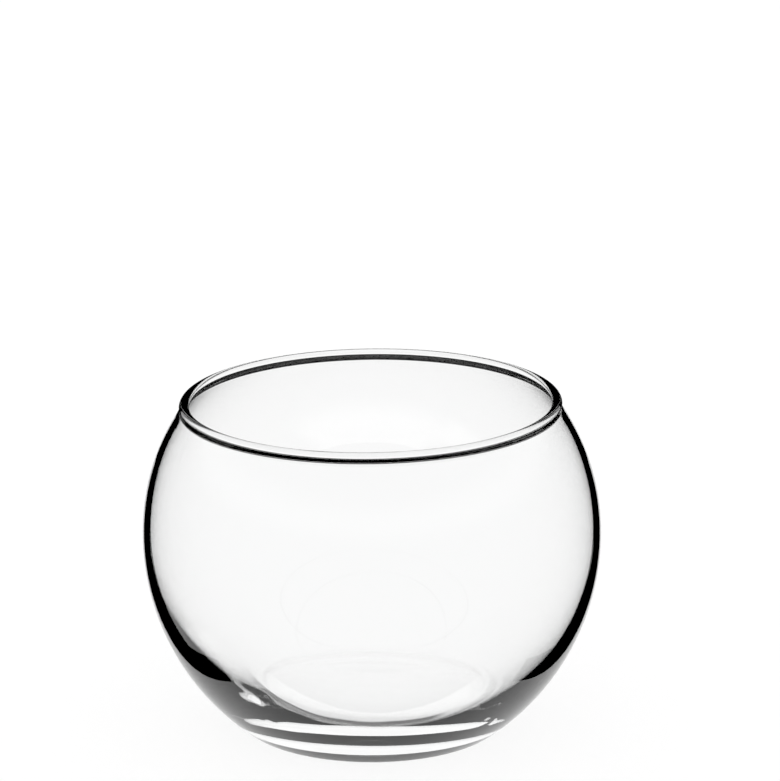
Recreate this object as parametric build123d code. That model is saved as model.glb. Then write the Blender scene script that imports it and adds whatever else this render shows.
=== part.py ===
from build123d import *

import os
from math import atan2, cos, hypot, pi, sin, sqrt

# A clear rose bowl, blown and pressed as one piece of glass: a round belly drawn in to a wide mouth with a
# fire-polished bead, walls that thicken downwards, and a heavy floor standing on a flat ring round a shallow punt.
# The axis of the bowl is Z, and the table is at Z = 0.

# Driving dimensions of the outside, in millimetres
belly_diameter = 114.0  # across the widest line
belly_height = 49.4  # table to the widest line
overall_height = 84.5  # table to the top of the rim bead
foot_diameter = 63.8  # where the outside curve, carried on, would meet the table
heel_radius = 6.0  # round between the outside curve and the bearing ring
bearing_width = 6.8  # flat ring that stands on the table
punt_depth = 0.4  # rise of the hollow under the floor, at the axis

# Driving dimensions of the rim
mouth_diameter = 89.6  # clear opening inside the bead
bead_diameter = 2.5  # round of glass that finishes the edge
neck_sweep = 1.2  # hollow round where the outside runs into the bead

# Driving dimensions of the wall and floor
belly_wall = 1.8  # at the widest line
neck_wall = 1.3  # just under the bead
floor_thickness = 5.3  # table to the inside of the floor
floor_diameter = 59.4  # where the inside curve, carried on, would meet the floor
floor_round = 4.0  # round between the inside curve and the floor


def curve_radius(width, height):
    """Radius of an arc that starts upright and moves in by width over the given height."""
    return (width**2 + height**2) / (2 * width)


def towards(start, end, distance):
    """The point at a distance from start on the line through end."""
    length = hypot(end[0] - start[0], end[1] - start[1])
    return (
        start[0] + (end[0] - start[0]) * distance / length,
        start[1] + (end[1] - start[1]) * distance / length,
    )


def meeting_point(centre, radius, other_centre, other_radius):
    """Where two circles meet, on the right of the line from centre to other_centre."""
    across, up = other_centre[0] - centre[0], other_centre[1] - centre[1]
    length = hypot(across, up)
    along = (length**2 + radius**2 - other_radius**2) / (2 * length)
    aside = sqrt(radius**2 - along**2)
    return (
        centre[0] + (along * across + aside * up) / length,
        centre[1] + (along * up - aside * across) / length,
    )


def arc(centre, start, end, clockwise=False):
    """Arc about a centre from start to end, in the section's plane."""
    radius = hypot(start[0] - centre[0], start[1] - centre[1])
    first = atan2(start[1] - centre[1], start[0] - centre[0])
    last = atan2(end[1] - centre[1], end[0] - centre[0])
    turn = (last - first) % (2 * pi)
    middle = first + (turn / 2 if not clockwise else turn / 2 - pi)
    return ThreePointArc(start, (centre[0] + radius * cos(middle), centre[1] + radius * sin(middle)), end)


# Inside of the belly, and the bead that the inside runs into
belly_radius = belly_diameter / 2
inside_radius = belly_radius - belly_wall
bead_radius = bead_diameter / 2
bead_centre = (mouth_diameter / 2 + bead_radius, overall_height - bead_radius)
bead_rise = bead_centre[1] - belly_height
bead_inset = inside_radius - bead_centre[0]
inside_upper_radius = (bead_inset**2 + bead_rise**2 - bead_radius**2) / (2 * (bead_inset + bead_radius))
inside_upper_centre = (inside_radius - inside_upper_radius, belly_height)
inside_neck = towards(inside_upper_centre, bead_centre, inside_upper_radius)

# Inside of the floor and the round that leads to it
floor_drop = belly_height - floor_thickness
inside_lower_radius = curve_radius(inside_radius - floor_diameter / 2, floor_drop)
inside_lower_centre = (inside_radius - inside_lower_radius, belly_height)
floor_round_reach = sqrt((inside_lower_radius - floor_round) ** 2 - (floor_drop - floor_round) ** 2)
floor_round_centre = (inside_lower_centre[0] + floor_round_reach, floor_thickness + floor_round)
floor_round_top = towards(inside_lower_centre, floor_round_centre, inside_lower_radius)
floor_edge = (floor_round_centre[0], floor_thickness)

# Outside above the widest line, and the hollow sweep under the bead
outside_neck = towards(inside_upper_centre, bead_centre, inside_upper_radius + neck_wall)
outside_upper_radius = curve_radius(belly_radius - outside_neck[0], outside_neck[1] - belly_height)
outside_upper_centre = (belly_radius - outside_upper_radius, belly_height)
sweep_centre = meeting_point(
    outside_upper_centre, outside_upper_radius + neck_sweep, bead_centre, bead_radius + neck_sweep
)
sweep_foot = towards(outside_upper_centre, sweep_centre, outside_upper_radius)
sweep_top = towards(bead_centre, sweep_centre, bead_radius)

# Outside below the widest line, the heel and the bearing ring
outside_lower_radius = curve_radius(belly_radius - foot_diameter / 2, belly_height)
outside_lower_centre = (belly_radius - outside_lower_radius, belly_height)
heel_reach = sqrt((outside_lower_radius - heel_radius) ** 2 - (belly_height - heel_radius) ** 2)
heel_centre = (outside_lower_centre[0] + heel_reach, heel_radius)
heel_top = towards(outside_lower_centre, heel_centre, outside_lower_radius)
ring_outer = (heel_centre[0], 0)
ring_inner = (heel_centre[0] - bearing_width, 0)
punt_radius = curve_radius(punt_depth, ring_inner[0])
punt_top = (0, punt_depth)

# The half section, from the axis under the floor, up the outside, over the bead and down the inside
with BuildPart() as glass_bowl:
    with BuildSketch(Plane.XZ):
        with BuildLine():
            arc((0, punt_depth - punt_radius), punt_top, ring_inner, clockwise=True)
            Line(ring_inner, ring_outer)
            arc(heel_centre, ring_outer, heel_top)
            arc(outside_lower_centre, heel_top, (belly_radius, belly_height))
            arc(outside_upper_centre, (belly_radius, belly_height), sweep_foot)
            arc(sweep_centre, sweep_foot, sweep_top, clockwise=True)
            arc(bead_centre, sweep_top, inside_neck)
            arc(inside_upper_centre, inside_neck, (inside_radius, belly_height), clockwise=True)
            arc(inside_lower_centre, (inside_radius, belly_height), floor_round_top, clockwise=True)
            arc(floor_round_centre, floor_round_top, floor_edge, clockwise=True)
            Line(floor_edge, (0, floor_thickness))
            Line((0, floor_thickness), punt_top)
        make_face()
    revolve(axis=Axis.Z)

os.makedirs("parts", exist_ok=True)
export_step(glass_bowl.part, "parts/glass_bowl.step")
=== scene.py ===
import math

import bpy
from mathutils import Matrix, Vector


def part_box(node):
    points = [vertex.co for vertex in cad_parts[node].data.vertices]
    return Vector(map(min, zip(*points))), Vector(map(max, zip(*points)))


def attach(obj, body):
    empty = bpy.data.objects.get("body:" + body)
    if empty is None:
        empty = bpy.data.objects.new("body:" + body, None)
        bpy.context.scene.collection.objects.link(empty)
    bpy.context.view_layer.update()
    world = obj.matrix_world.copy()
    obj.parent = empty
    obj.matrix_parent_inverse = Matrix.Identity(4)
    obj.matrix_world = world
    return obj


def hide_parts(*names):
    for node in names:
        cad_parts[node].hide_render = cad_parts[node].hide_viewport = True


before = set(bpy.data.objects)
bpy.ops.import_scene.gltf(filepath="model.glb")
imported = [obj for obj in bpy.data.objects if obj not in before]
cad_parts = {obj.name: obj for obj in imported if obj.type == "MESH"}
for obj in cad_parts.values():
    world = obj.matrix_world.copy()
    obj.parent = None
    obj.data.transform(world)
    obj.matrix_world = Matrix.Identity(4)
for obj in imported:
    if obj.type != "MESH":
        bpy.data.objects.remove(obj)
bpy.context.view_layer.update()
scene = bpy.context.scene

# Glass bowl: the whole vessel is one piece of clear soda-lime glass, blown in a mould and fire-polished
# to a bead round the mouth. It stands loose on the flat ring of its thick floor. As on all such ware the
# rim slants a little, the hollow sits off the axis, and the inside of the floor is slightly rippled.
bowl_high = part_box("glass_bowl")[1]
belly_radius = bowl_high.x
rim_height = bowl_high.z
belly_height = 0.0494
foot_radius = 0.0319
heel_radius = 0.006
bearing_width = 0.0068
punt_depth = 0.0004
mouth_radius = 0.0448
bead_radius = 0.00125
neck_sweep = 0.0012
belly_wall = 0.0018
neck_wall = 0.0013
floor_thickness = 0.0053
floor_radius = 0.0297
floor_round = 0.004
rim_slant = 0.0011


def curve_radius(width, height):
    """Radius of an arc that starts upright and moves in by width over the given height."""
    return (width**2 + height**2) / (2 * width)


def towards(start, end, distance):
    """The point at a distance from start on the line through end."""
    share = distance / math.dist(start, end)
    return (start[0] + (end[0] - start[0]) * share, start[1] + (end[1] - start[1]) * share)


def meeting_point(centre, radius, other_centre, other_radius):
    """Where two circles meet, on the right of the line from centre to other_centre."""
    across = other_centre[0] - centre[0]
    up = other_centre[1] - centre[1]
    length = math.hypot(across, up)
    along = (length**2 + radius**2 - other_radius**2) / (2 * length)
    aside = math.sqrt(radius**2 - along**2)
    return (
        centre[0] + (along * across + aside * up) / length,
        centre[1] + (along * up - aside * across) / length,
    )


def arc(centre, start, end, steps, clockwise=False):
    """Points on an arc about a centre, from start up to, but not with, its end."""
    radius = math.dist(centre, start)
    first = math.atan2(start[1] - centre[1], start[0] - centre[0])
    last = math.atan2(end[1] - centre[1], end[0] - centre[0])
    turn = (last - first) % math.tau
    if clockwise:
        turn -= math.tau
    angles = [first + turn * k / steps for k in range(steps)]
    return [(centre[0] + radius * math.cos(a), centre[1] + radius * math.sin(a)) for a in angles]


def line(start, end, steps):
    """Points on a straight run, from start up to, but not with, its end."""
    return [towards(start, end, math.dist(start, end) * k / steps) for k in range(steps)]


def half_section():
    """Points of the outside, from the axis under the floor to the top of the bead, and of the inside."""
    inside_radius = belly_radius - belly_wall
    bead_centre = (mouth_radius + bead_radius, rim_height - bead_radius)
    bead_rise = bead_centre[1] - belly_height
    bead_inset = inside_radius - bead_centre[0]
    upper_radius = (bead_inset**2 + bead_rise**2 - bead_radius**2) / (2 * (bead_inset + bead_radius))
    upper_centre = (inside_radius - upper_radius, belly_height)
    inside_neck = towards(upper_centre, bead_centre, upper_radius)
    bead_top = (bead_centre[0], rim_height)

    floor_drop = belly_height - floor_thickness
    lower_radius = curve_radius(inside_radius - floor_radius, floor_drop)
    lower_centre = (inside_radius - lower_radius, belly_height)
    reach = math.sqrt((lower_radius - floor_round) ** 2 - (floor_drop - floor_round) ** 2)
    round_centre = (lower_centre[0] + reach, floor_thickness + floor_round)
    round_top = towards(lower_centre, round_centre, lower_radius)
    floor_edge = (round_centre[0], floor_thickness)

    outside_neck = towards(upper_centre, bead_centre, upper_radius + neck_wall)
    shoulder_radius = curve_radius(belly_radius - outside_neck[0], outside_neck[1] - belly_height)
    shoulder_centre = (belly_radius - shoulder_radius, belly_height)
    sweep_centre = meeting_point(
        shoulder_centre, shoulder_radius + neck_sweep, bead_centre, bead_radius + neck_sweep
    )
    sweep_foot = towards(shoulder_centre, sweep_centre, shoulder_radius)
    sweep_top = towards(bead_centre, sweep_centre, bead_radius)

    skirt_radius = curve_radius(belly_radius - foot_radius, belly_height)
    skirt_centre = (belly_radius - skirt_radius, belly_height)
    heel_reach = math.sqrt((skirt_radius - heel_radius) ** 2 - (belly_height - heel_radius) ** 2)
    heel_centre = (skirt_centre[0] + heel_reach, heel_radius)
    heel_top = towards(skirt_centre, heel_centre, skirt_radius)
    ring_outer = (heel_centre[0], 0)
    ring_inner = (heel_centre[0] - bearing_width, 0)
    punt_radius = curve_radius(punt_depth, ring_inner[0])

    widest = (belly_radius, belly_height)
    widest_inside = (inside_radius, belly_height)
    outside = (
        arc((0, punt_depth - punt_radius), (0, punt_depth), ring_inner, steps=14, clockwise=True)
        + line(ring_inner, ring_outer, steps=4)
        + arc(heel_centre, ring_outer, heel_top, steps=14)
        + arc(skirt_centre, heel_top, widest, steps=60)
        + arc(shoulder_centre, widest, sweep_foot, steps=40)
        + arc(sweep_centre, sweep_foot, sweep_top, steps=8, clockwise=True)
        + arc(bead_centre, sweep_top, bead_top, steps=16)
    )
    inside = (
        arc(bead_centre, bead_top, inside_neck, steps=16)
        + arc(upper_centre, inside_neck, widest_inside, steps=40, clockwise=True)
        + arc(lower_centre, widest_inside, round_top, steps=48, clockwise=True)
        + arc(round_centre, round_top, floor_edge, steps=24, clockwise=True)
        + line(floor_edge, (0, floor_thickness), steps=20)
        + [(0, floor_thickness)]
    )
    return outside, inside


class Wire:
    """An output of a node. Sums, products and comparisons of wires and numbers add Math nodes."""

    def __init__(self, node, output=0):
        self.socket = node.outputs[output]
        self.tree = node.id_data

    @staticmethod
    def node(tree, kind, settings, sockets):
        """Adds a node of a kind, with its settings first and then a value or a wire for each socket."""
        made = tree.nodes.new(kind)
        for name, value in settings.items():
            setattr(made, name, value)
        for name, value in sockets.items():
            if isinstance(value, Wire):
                tree.links.new(value.socket, made.inputs[name])
            else:
                made.inputs[name].default_value = value
        return made

    def maths(self, operation, *values):
        """A Math node of these values, each of them a wire or a number."""
        sockets = dict(enumerate(values))
        return Wire(Wire.node(self.tree, "ShaderNodeMath", {"operation": operation}, sockets))

    def __add__(self, other):
        return self.maths("ADD", self, other)

    def __radd__(self, other):
        return self.maths("ADD", other, self)

    def __sub__(self, other):
        return self.maths("SUBTRACT", self, other)

    def __rsub__(self, other):
        return self.maths("SUBTRACT", other, self)

    def __mul__(self, other):
        return self.maths("MULTIPLY", self, other)

    def __rmul__(self, other):
        return self.maths("MULTIPLY", other, self)

    def __truediv__(self, other):
        return self.maths("DIVIDE", self, other)

    def __rtruediv__(self, other):
        return self.maths("DIVIDE", other, self)

    def __mod__(self, other):
        return self.maths("FLOORED_MODULO", self, other)

    def __rmod__(self, other):
        return self.maths("FLOORED_MODULO", other, self)

    def __lt__(self, other):
        return self.maths("LESS_THAN", self, other)

    def __gt__(self, other):
        return self.maths("GREATER_THAN", self, other)

    def __abs__(self):
        return self.maths("ABSOLUTE", self)

    def larger(self, other):
        return self.maths("MAXIMUM", self, other)

    def at_least(self, count):
        """1 where this whole number is the count or more, and 0 elsewhere."""
        return self > count - 0.5

    def at_most(self, count):
        """1 where this whole number is the count or less, and 0 elsewhere."""
        return self < count + 0.5

    def ramp(self, start, end):
        """Rises smoothly from 0 to 1 as this value goes from start to end."""
        settings = {"interpolation_type": "SMOOTHSTEP"}
        sockets = {"Value": self, "From Min": start, "From Max": end}
        return Wire(Wire.node(self.tree, "ShaderNodeMapRange", settings, sockets))

    def split(self):
        """The three numbers of a vector."""
        parts = Wire.node(self.tree, "ShaderNodeSeparateXYZ", {}, {"Vector": self})
        return [Wire(parts, axis) for axis in "XYZ"]

    def distance(self, spot):
        """How far a point is from a spot."""
        settings = {"operation": "DISTANCE"}
        return Wire(Wire.node(self.tree, "ShaderNodeVectorMath", settings, {0: self, 1: spot}), "Value")


def spinning_tree(sizes):
    """Geometry nodes that turn a half section about the axis, with the unevenness of the real glass."""
    tree = bpy.data.node_groups.new("spun_glass", "GeometryNodeTree")
    kinds = {
        int: "NodeSocketInt",
        float: "NodeSocketFloat",
        tuple: "NodeSocketVector",
        bpy.types.Material: "NodeSocketMaterial",
    }
    tree.interface.new_socket(name="Geometry", in_out="INPUT", socket_type="NodeSocketGeometry")
    tree.interface.new_socket(name="Geometry", in_out="OUTPUT", socket_type="NodeSocketGeometry")
    identifiers = {}
    for name, value in sizes.items():
        socket = tree.interface.new_socket(name=name, in_out="INPUT", socket_type=kinds[type(value)])
        identifiers[name] = socket.identifier
    inputs = Wire.node(tree, "NodeGroupInput", {}, {})
    given = {name: Wire(inputs, name) for name in ("Geometry", *sizes)}

    # A grid with a column for each step round and a row for each point of the section
    section = given["Geometry"]
    size = Wire.node(tree, "GeometryNodeAttributeDomainSize", {"component": "MESH"}, {"Geometry": section})
    rows = Wire(size, "Point Count")
    columns = given["Steps Round"] + 1
    grid = Wire.node(tree, "GeometryNodeMeshGrid", {}, {"Vertices X": columns, "Vertices Y": rows})
    index = Wire(Wire.node(tree, "GeometryNodeInputIndex", {}, {}))
    row = index % rows
    column = (index - row) / rows
    angle = column * math.tau / given["Steps Round"]

    # The radius and height of each point of the section, and 1 for the points of the inside
    position = Wire(Wire.node(tree, "GeometryNodeInputPosition", {}, {}))
    named = Wire.node(tree, "GeometryNodeInputNamedAttribute", {"data_type": "FLOAT"}, {"Name": "inside"})
    on_inside = Wire(named, "Attribute")

    def of_section(kind, value):
        sockets = {"Geometry": section, "Value": value, "Index": row}
        return Wire(Wire.node(tree, "GeometryNodeSampleIndex", {"data_type": kind}, sockets))

    radius, _, height = of_section("FLOAT_VECTOR", position).split()
    inside = of_section("FLOAT", on_inside)

    # The lower hollow sits to the right of the axis and behind it, and the rim is lower at the left
    low = 1 - height.ramp(given["Drift Full Below"], given["Drift Gone Above"])
    across = radius * angle.maths("COSINE", angle) + inside * low * given["Hollow Drift"]
    away = radius * angle.maths("SINE", angle) + inside * low * given["Hollow Setback"]
    neck = height.ramp(given["Neck Start"], given["Rim Height"])
    lean = (across / given["Rim Radius"] - 1) * 0.5 * neck * given["Rim Slant"]
    across = across + neck * given["Rim Shift"]
    place = Wire.node(tree, "ShaderNodeCombineXYZ", {}, {"X": across, "Y": away, "Z": height + lean})
    spun = Wire.node(
        tree, "GeometryNodeSetPosition", {}, {"Geometry": Wire(grid, "Mesh"), "Position": Wire(place)}
    )
    marked = Wire.node(
        tree,
        "GeometryNodeStoreNamedAttribute",
        {"data_type": "FLOAT", "domain": "POINT"},
        {"Geometry": Wire(spun), "Name": "inside", "Value": inside},
    )
    closed = Wire.node(
        tree, "GeometryNodeMergeByDistance", {}, {"Geometry": Wire(marked), "Distance": given["Seam Gap"]}
    )

    def waves(scale):
        """Smooth random values between -1 and 1."""
        noise = Wire.node(
            tree,
            "ShaderNodeTexNoise",
            {"noise_dimensions": "4D"},
            {"Vector": position, "W": given["Wave Seed"], "Scale": scale, "Detail": given["Wave Detail"]},
        )
        return (Wire(noise) - 0.5) * 2

    # Ripples on the inside of the floor and the lower wall, strongest at the left
    x, _, z = position.split()
    depth = 1 - z.ramp(given["Ripple Full Below"], given["Ripple Gone Above"])
    left = 1 - given["Ripple Calm"] * x.ramp(given["Ripple Full Left"], given["Ripple Calm Right"])
    ripple = waves(given["Ripple Scale"]) * given["Ripple Height"] * on_inside * depth * left

    def near(spot, reach):
        return 1 - position.distance(spot).ramp(given["Swirl Core"] * reach, reach)

    # Two swirls in the floor's corner, a large one at the front left and a small one at the front right
    left_swirl = near(given["Left Swirl"], given["Left Swirl Reach"])
    right_swirl = near(given["Right Swirl"], given["Right Swirl Reach"])
    swirl = waves(given["Swirl Scale"]) * given["Swirl Height"] * on_inside * (left_swirl + right_swirl)
    normal = Wire(Wire.node(tree, "GeometryNodeInputNormal", {}, {}))
    push = Wire.node(
        tree, "ShaderNodeVectorMath", {"operation": "SCALE"}, {0: normal, "Scale": ripple + swirl}
    )
    rippled = Wire.node(
        tree, "GeometryNodeSetPosition", {}, {"Geometry": Wire(closed), "Offset": Wire(push)}
    )
    smooth = Wire.node(tree, "GeometryNodeSetShadeSmooth", {}, {"Geometry": Wire(rippled)})
    real = Wire.node(tree, "GeometryNodeRealizeInstances", {}, {"Geometry": Wire(smooth)})
    dressed = Wire.node(
        tree, "GeometryNodeSetMaterial", {}, {"Geometry": Wire(real), "Material": given["Material"]}
    )
    Wire.node(tree, "NodeGroupOutput", {}, {"Geometry": Wire(dressed)})
    return tree, identifiers


def clear_glass():
    """Colourless glass with the faintest drift of tint, and fine scuffs where the ring stands on tables."""
    refraction = 1.52
    clear_tint = (1.0, 1.0, 1.0, 1.0)
    faint_tint = (0.993, 0.996, 0.995, 1.0)
    tint_scale = 30.0
    tint_detail = 2.0
    scuff_scale = 900.0
    scuff_detail = 4.0
    scuff_grain = 0.7
    scuff_roughness = 0.06
    scuffs_full_below = 0.00005
    scuffs_gone_above = 0.00025
    scuff_start = 0.50
    scuff_full = 0.70

    material = bpy.data.materials.new("clear_glass")
    material.use_nodes = True
    tree = material.node_tree
    shader = tree.nodes["Principled BSDF"]
    shader.inputs["Transmission Weight"].default_value = 1.0
    shader.inputs["IOR"].default_value = refraction
    place = Wire(Wire.node(tree, "ShaderNodeTexCoord", {}, {}), "Object")
    drift = Wire.node(
        tree, "ShaderNodeTexNoise", {}, {"Vector": place, "Scale": tint_scale, "Detail": tint_detail}
    )
    tint = Wire.node(
        tree,
        "ShaderNodeMix",
        {"data_type": "RGBA"},
        {"Factor": Wire(drift), "A": clear_tint, "B": faint_tint},
    )
    tree.links.new(Wire(tint, "Result").socket, shader.inputs["Base Color"])
    scuffs = Wire.node(
        tree,
        "ShaderNodeTexNoise",
        {},
        {"Vector": place, "Scale": scuff_scale, "Detail": scuff_detail, "Roughness": scuff_grain},
    )
    _, _, height = place.split()
    on_ring = 1 - height.ramp(scuffs_full_below, scuffs_gone_above)
    worn = on_ring * Wire(scuffs).ramp(scuff_start, scuff_full)
    tree.links.new((scuff_roughness * worn).socket, shader.inputs["Roughness"])
    return material


bowl_sizes = {
    "Steps Round": 320,
    "Rim Radius": mouth_radius + bead_radius,
    "Rim Height": rim_height,
    "Rim Slant": rim_slant,
    "Rim Shift": -0.0003,
    "Neck Start": 0.060,
    "Hollow Drift": 0.0005,
    "Hollow Setback": 0.0006,
    "Drift Full Below": 0.012,
    "Drift Gone Above": 0.040,
    "Wave Seed": 3.0,
    "Wave Detail": 1.0,
    "Ripple Height": 0.00006,
    "Ripple Scale": 70.0,
    "Ripple Full Below": 0.010,
    "Ripple Gone Above": 0.036,
    "Ripple Full Left": -0.020,
    "Ripple Calm Right": 0.020,
    "Ripple Calm": 0.7,
    "Swirl Height": 0.0004,
    "Swirl Scale": 250.0,
    "Swirl Core": 0.2,
    "Left Swirl": (-0.0280, -0.0350, 0.0178),
    "Left Swirl Reach": 0.009,
    "Right Swirl": (0.0285, -0.0290, 0.0135),
    "Right Swirl Reach": 0.006,
    "Seam Gap": 1e-6,
    "Material": clear_glass(),
}
outside, inside = half_section()
section_mesh = bpy.data.meshes.new("bowl_section")
section_mesh.from_pydata([(r, 0, z) for r, z in outside + inside], [], [])
inside_marks = section_mesh.attributes.new("inside", "FLOAT", "POINT")
inside_marks.data.foreach_set("value", [0.0] * len(outside) + [1.0] * len(inside))
bowl = bpy.data.objects.new("clear_bowl", section_mesh)
scene.collection.objects.link(bowl)
spin = bowl.modifiers.new("spin", "NODES")
spin.node_group, spin_identifiers = spinning_tree(bowl_sizes)
for name, value in bowl_sizes.items():
    spin[spin_identifiers[name]] = value
evaluated = bowl.evaluated_get(bpy.context.evaluated_depsgraph_get())
bowl_mesh = bpy.data.meshes.new_from_object(evaluated)
bowl.modifiers.remove(spin)
bowl.data = bowl_mesh
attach(bowl, "root")
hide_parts("glass_bowl")

# Table: a plain white matt top that runs out to the white backdrop. It takes the bowl's faint shadow, and
# part of its white is its own glow, so that the shadow stays light. The glass itself doesn't show it.
white = (1.0, 1.0, 1.0, 1.0)
table_reach = 6.0
table_drop = 0.0002
table_glow = 0.86
table_grey = (0.16, 0.16, 0.16, 1.0)


def bare_material(name):
    """A material without any node yet, and its tree."""
    material = bpy.data.materials.new(name)
    material.use_nodes = True
    material.node_tree.nodes.clear()
    return material, material.node_tree


def rectangle(left, right, front, back, height):
    """The corners of a rectangle that is level in its own frame."""
    return [(left, front, height), (right, front, height), (right, back, height), (left, back, height)]


def stage_piece(name, points, faces, material):
    """A mesh for the stage, made from its points and faces, with one material."""
    mesh = bpy.data.meshes.new(name)
    mesh.from_pydata(points, [], faces)
    mesh.materials.append(material)
    piece = bpy.data.objects.new(name, mesh)
    scene.collection.objects.link(piece)
    return piece


def stage_sheet(name, corners, material):
    """A flat sheet of the stage with the given corners."""
    return stage_piece(name, corners, [range(len(corners))], material)


table_material, table_tree = bare_material("white_table")
table_shine = Wire.node(table_tree, "ShaderNodeEmission", {}, {"Color": white, "Strength": table_glow})
table_matt = Wire.node(table_tree, "ShaderNodeBsdfDiffuse", {}, {"Color": table_grey})
table_sum = Wire.node(table_tree, "ShaderNodeAddShader", {}, {0: Wire(table_shine), 1: Wire(table_matt)})
Wire.node(table_tree, "ShaderNodeOutputMaterial", {}, {"Surface": Wire(table_sum)})
table_corners = rectangle(-table_reach, table_reach, -table_reach, table_reach, -table_drop)
table = stage_sheet("table", table_corners, table_material)
table.visible_glossy = False
table.visible_transmission = False

# Camera: a long lens at the picture's angle, a little over a metre from the bowl. It is turned a little
# to the right, so that the bowl's axis is left of the middle of the picture.
picture_width = 780
focal_pixels = 4500
axis_offset_pixels = 19
sensor_width = 36
view_pitch = math.radians(16.05)
camera_away = 1.0664
camera_height = 0.3928
nearest_sight = 0.01
camera_data = bpy.data.cameras.new("camera")
camera_data.sensor_fit = "HORIZONTAL"
camera_data.sensor_width = sensor_width
camera_data.lens = focal_pixels * sensor_width / picture_width
camera_data.clip_start = nearest_sight
camera = bpy.data.objects.new("camera", camera_data)
camera.location = (0, -camera_away, camera_height)
camera.rotation_euler = (math.pi / 2 - view_pitch, 0, -math.atan(axis_offset_pixels / focal_pixels))
scene.collection.objects.link(camera)
scene.camera = camera

# Black flag: a black sheet behind the bowl, above the line of sight over the rim, which draws the dark
# lines of the rim. Its stand at the mouth turns it to face the camera, and light that has turned inside
# the glass passes it by. As every piece from here on, it is seen only by way of the glass.
black = (0.0, 0.0, 0.0, 1.0)
flag_depth = -0.47
flag_half_width = 0.3
flag_bottom = 0.062
flag_top = 0.5


def light_so_far(tree):
    """How often light has been mirrored on its way, and how many faces of the glass it has gone through."""
    path = Wire.node(tree, "ShaderNodeLightPath", {}, {})
    return Wire(path, "Glossy Depth"), Wire(path, "Transmission Depth")


def stop_light(tree, stopped, colour):
    """Ends a material that shows its colour to the light that it stops, and is clear for the rest."""
    glow = Wire.node(tree, "ShaderNodeEmission", {}, {"Color": colour})
    clear = Wire.node(tree, "ShaderNodeBsdfTransparent", {}, {})
    mix = Wire.node(tree, "ShaderNodeMixShader", {}, {0: stopped, 1: Wire(clear), 2: Wire(glow)})
    Wire.node(tree, "ShaderNodeOutputMaterial", {}, {"Surface": Wire(mix)})


def only_in_glass(piece, carrier=None):
    """Hides a piece of the stage from the camera and the table, and puts it on a stand that carries it."""
    piece.visible_camera = False
    piece.visible_diffuse = False
    piece.visible_shadow = False
    piece.parent = carrier


flag_stand = bpy.data.objects.new("flag_stand", None)
flag_stand.location = (0, 0, rim_height)
scene.collection.objects.link(flag_stand)
face = flag_stand.constraints.new("TRACK_TO")
face.target = camera
face.track_axis = "TRACK_Z"
face.up_axis = "UP_Y"
flag_material, flag_tree = bare_material("black_flag")
turns, crossings = light_so_far(flag_tree)
stop_light(flag_tree, 1 - turns.at_least(1) * crossings.at_least(1), black)
flag_corners = rectangle(-flag_half_width, flag_half_width, flag_bottom, flag_top, flag_depth)
only_in_glass(stage_sheet("black_flag", flag_corners, flag_material), flag_stand)

# Black rings: two flat rings round the rim, just under the bead and just over it, slanted as the rim is.
# Only mirror images off the outside meet the lower one, from above, and only light that has turned inside
# the bead meets the upper one, from below, so the hollow sweep shows as a dark line.
ring_sides = 96
ring_sight = 0.025
low_ring_height = 0.0793
low_ring_inner = 0.0489
low_ring_outer = 0.080
high_ring_height = 0.0847
high_ring_inner = 0.0465
high_ring_outer = 0.0500


def ring_meeting(tree):
    """Whether light comes from close by, and whether it meets the under side of a ring."""
    length = Wire(Wire.node(tree, "ShaderNodeLightPath", {}, {}), "Ray Length")
    under = Wire(Wire.node(tree, "ShaderNodeNewGeometry", {}, {}), "Backfacing")
    return length < ring_sight, under


def flat_ring(name, height, inner, outer, material):
    """A flat ring round the rim, slanted as the rim is."""
    points = []
    for k in range(ring_sides):
        angle = math.tau * k / ring_sides
        slant = rim_slant / 2 * math.cos(angle)
        for radius in (inner, outer):
            points.append((radius * math.cos(angle), radius * math.sin(angle), height + slant))
    total = len(points)
    faces = [(k, k + 1, (k + 3) % total, (k + 2) % total) for k in range(0, total, 2)]
    only_in_glass(stage_piece(name, points, faces, material))


low_material, low_tree = bare_material("black_ring_low")
_, crossings = light_so_far(low_tree)
close_by, under = ring_meeting(low_tree)
stop_light(low_tree, close_by * (1 - under) * crossings.at_most(0), black)
flat_ring("black_ring_low", low_ring_height, low_ring_inner, low_ring_outer, low_material)
high_material, high_tree = bare_material("black_ring_high")
turns, crossings = light_so_far(high_tree)
close_by, under = ring_meeting(high_tree)
turned_in_bead = turns.at_least(1) * crossings.at_least(1) * crossings.at_most(3)
stop_light(high_tree, close_by * under * turned_in_bead, black)
flat_ring("black_ring_high", high_ring_height, high_ring_inner, high_ring_outer, high_material)

# Turning stand: a pivot on the bowl's axis that carries the bright sheets and the cards. It turns about
# the axis towards the camera, so that they stay in the same places as seen from there.
stand = bpy.data.objects.new("tent_stand", None)
scene.collection.objects.link(stand)
follow = stand.constraints.new("LOCKED_TRACK")
follow.target = camera
follow.track_axis = "TRACK_NEGATIVE_Y"
follow.lock_axis = "LOCK_Z"

# Bright strip: the part of the table under and behind the bowl, which widens to the back. It is white to
# light that comes straight through the glass, that the outside mirrors, or that has gone through both
# walls with two turns at most, and black to light that turns inside one wall.
strip_front = -0.10
strip_back = 0.30
strip_half_width = 0.0615
strip_spread = 0.27
strip_drop = table_drop / 2
strip_material, strip_tree = bare_material("bright_strip")
turns, crossings = light_so_far(strip_tree)
past_both_walls = crossings.at_least(4) * turns.at_most(2)
stop_light(strip_tree, 1.0, turns.at_most(0).larger(crossings.at_most(0)).larger(past_both_walls))
front_half = strip_half_width + strip_spread * strip_front
back_half = strip_half_width + strip_spread * strip_back
strip_corners = [
    (-front_half, strip_front, -strip_drop),
    (front_half, strip_front, -strip_drop),
    (back_half, strip_back, -strip_drop),
    (-back_half, strip_back, -strip_drop),
]
only_in_glass(stage_sheet("bright_strip", strip_corners, strip_material), stand)
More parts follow.
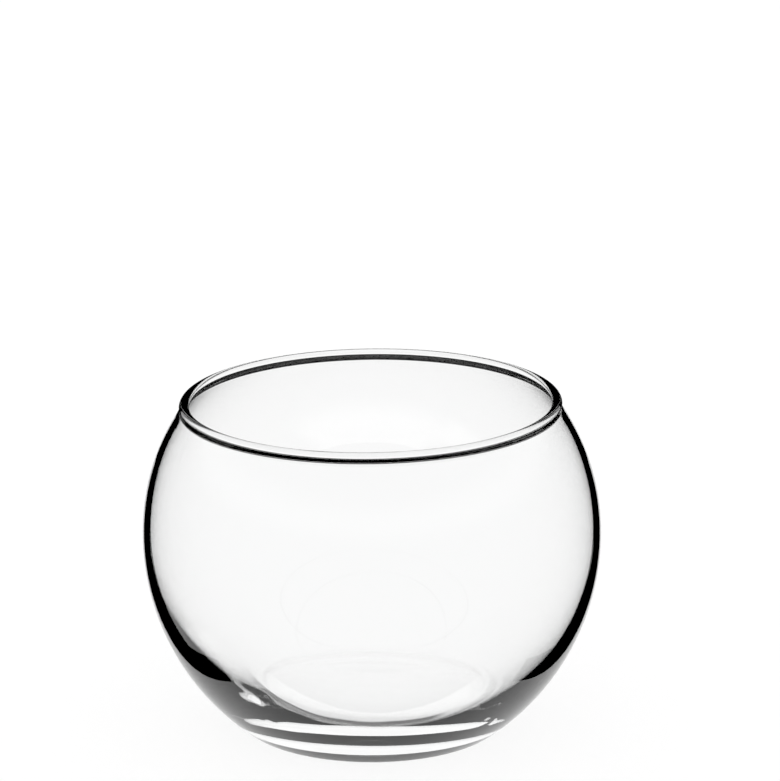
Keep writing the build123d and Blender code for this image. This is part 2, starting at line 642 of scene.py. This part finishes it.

# Bright foot plate: the part of the table under the front of the thick floor, white also to light that
# turns up to three times in the glass. A painted contact shadow under the front of the bearing ring darkens
# it for light that comes straight through both walls, and draws a thin dark line above the base.
plate_half_width = 0.044
plate_front = -0.040
plate_back = 0.014
plate_drop = strip_drop / 2
plate_full_to_side = 0.028
plate_full_to_back = -0.012
contact_shadow_centre = (0.0, 0.012, 0.0)
contact_shadow_start_radius = 0.0350
contact_shadow_full_radius = 0.0362
contact_shadow_full_to_right = 0.015
contact_shadow_right = 0.021
contact_shadow_dark = 0.90
plate_material, plate_tree = bare_material("bright_foot_plate")
turns, crossings = light_so_far(plate_tree)
place = Wire(Wire.node(plate_tree, "ShaderNodeTexCoord", {}, {}), "Object")
x, y, _ = place.split()
fade_back = 1 - y.ramp(plate_full_to_back, plate_back)
fade_sideways = 1 - abs(x).ramp(plate_full_to_side, plate_half_width)
# Painted contact shadow: the plate goes dark beyond a circle under the front of the bearing ring, fading
# out on the right
contact_shadow = place.distance(contact_shadow_centre).ramp(contact_shadow_start_radius, contact_shadow_full_radius)
contact_shadow = contact_shadow * (1 - x.ramp(contact_shadow_full_to_right, contact_shadow_right))
straight_through = turns.at_most(0) * crossings.at_least(4)
plate_shadowed = 1 - contact_shadow_dark * straight_through * contact_shadow
stop_light(plate_tree, turns.at_most(3) * fade_back * fade_sideways, plate_shadowed)
plate_corners = rectangle(-plate_half_width, plate_half_width, plate_front, plate_back, -plate_drop)
only_in_glass(stage_sheet("bright_foot_plate", plate_corners, plate_material), stand)

# Bright side plate: the part of the table left of the bowl, which fades out to its edges. Light that has
# turned once in the left wall, which is thicker than the right one, ends on it, so the wall is bright
# right up to its black edge.
side_left = -0.086
side_right = -0.026
side_front = -0.034
side_back = 0.016
side_drop = 0.75 * strip_drop
side_full_from_left = -0.066
side_full_to_right = -0.040
side_full_from_front = -0.008
side_full_to_back = 0.002
side_strength = 0.85
side_material, side_tree = bare_material("bright_side_plate")
turns, crossings = light_so_far(side_tree)
turned_once = crossings.at_least(2) * crossings.at_most(2) * turns.at_least(1) * turns.at_most(1)
x, y, _ = Wire(Wire.node(side_tree, "ShaderNodeTexCoord", {}, {}), "Object").split()
fade_across = x.ramp(side_left, side_full_from_left) * (1 - x.ramp(side_full_to_right, side_right))
fade_along = y.ramp(side_front, side_full_from_front) * (1 - y.ramp(side_full_to_back, side_back))
stop_light(side_tree, turned_once * fade_across * fade_along * side_strength, white)
side_corners = rectangle(side_left, side_right, side_front, side_back, -side_drop)
only_in_glass(stage_sheet("bright_side_plate", side_corners, side_material), stand)

# Black cards: two upright cards behind the bowl, left and right of the view, which spread out below the
# table. The glass mirrors them along its edges, and light that goes straight through passes them by.
card_away = 0.45
card_inner = 0.155
card_outer_edge = [(1.4, -1.25), (0.57, -0.45), (0.33, 0.0), (0.25, 0.1), (0.25, 0.6)]
card_bottom = card_outer_edge[0][1]
card_top = card_outer_edge[-1][1]
card_outline = [(card_inner, card_bottom), *card_outer_edge, (card_inner, card_top)]
card_material, card_tree = bare_material("black_card")
turns, crossings = light_so_far(card_tree)
stop_light(card_tree, 1 - turns.at_most(0).larger(crossings.at_least(4)), black)
for hand, sign in (("left", -1), ("right", 1)):
    card_corners = [(sign * x, card_away, z) for x, z in card_outline]
    only_in_glass(stage_sheet(f"black_card_{hand}", card_corners, card_material), stand)

# White card: an upright card high up behind the bowl, between the black ones. Light that turns many times
# in the far side of the floor ends on it, so the far edge of the floor shows only faintly.
white_half_width = 0.15
white_bottom = 0.15
white_top = 0.90
white_material, white_tree = bare_material("white_card")
turns, crossings = light_so_far(white_tree)
stop_light(white_tree, turns.at_least(3) * crossings.at_least(4), white)
white_corners = [
    (-white_half_width, card_away, white_bottom),
    (white_half_width, card_away, white_bottom),
    (white_half_width, card_away, white_top),
    (-white_half_width, card_away, white_top),
]
only_in_glass(stage_sheet("white_card", white_corners, white_material), stand)

# Room: even white light all round, as in a light tent, with dark parts that only mirrored light finds.
# The outside of the glass mirrors a dark roof. Light that turns inside the first wall is lost, which
# gives the glass its black edges, unless it turns once and leaves upwards.
roof_start = 0.30
roof_full = 0.60
sides_end = 0.10
sky_full = 0.50
light_bounces = 24
world = bpy.data.worlds.new("light_tent")
scene.world = world
world.use_nodes = True
world_tree = world.node_tree
world_tree.nodes.clear()
turns, crossings = light_so_far(world_tree)
scattered = Wire(Wire.node(world_tree, "ShaderNodeLightPath", {}, {}), "Diffuse Depth").at_least(1)
past_both_walls = crossings.at_least(4) * turns.at_most(2)
_, _, rise = Wire(Wire.node(world_tree, "ShaderNodeTexCoord", {}, {}), "Generated").split()
off_outside = crossings.at_most(0)
mirror_image = off_outside * (1 - rise.ramp(roof_start, roof_full))
turned_up = (1 - off_outside) * rise.ramp(sides_end, sky_full)
mirrored = turns.at_most(1) * (mirror_image + turned_up)
room_white = turns.at_most(0).larger(scattered).larger(past_both_walls).larger(mirrored)
room_light = Wire.node(world_tree, "ShaderNodeBackground", {}, {"Color": room_white})
Wire.node(world_tree, "ShaderNodeOutputWorld", {}, {"Surface": Wire(room_light)})
scene.cycles.max_bounces = light_bounces
scene.cycles.transmission_bounces = light_bounces
scene.cycles.glossy_bounces = light_bounces
scene.view_settings.view_transform = "Standard"
